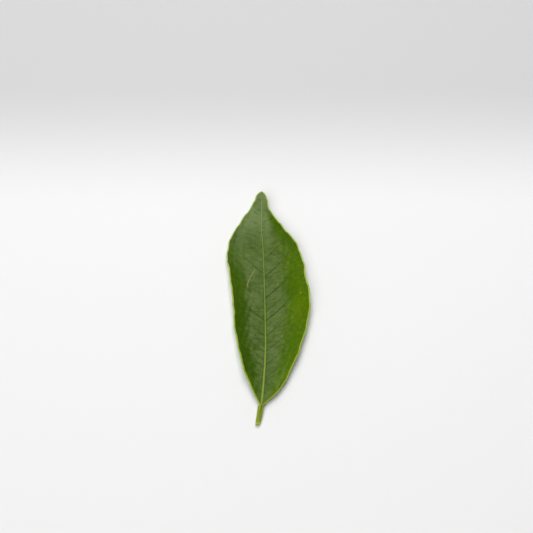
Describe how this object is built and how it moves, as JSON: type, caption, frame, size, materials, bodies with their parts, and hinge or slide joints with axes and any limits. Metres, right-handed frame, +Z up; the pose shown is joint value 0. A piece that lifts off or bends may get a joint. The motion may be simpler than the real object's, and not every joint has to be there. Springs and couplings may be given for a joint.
{
  "type": "orange leaf",
  "caption": "Picked citrus leaf with a short winged petiole, a raised midrib and gently upturned, finely toothed margins, lying on its underside.",
  "frame": {"origin": "on the resting surface, under the middle of the leaf's outline", "axes": "+Z up, +Y along the midrib from the petiole to the tip, +X to the right with the upper face up"},
  "size_m": [0.0302, 0.0906, 0.0048],
  "materials": {
    "leaf": "smooth waxy green upper face, paler matt underside, pale yellow-green midrib and margin line"
  },
  "bodies": {
    "root": {"orange_leaf": "leaf"}
  },
  "joints": []
}
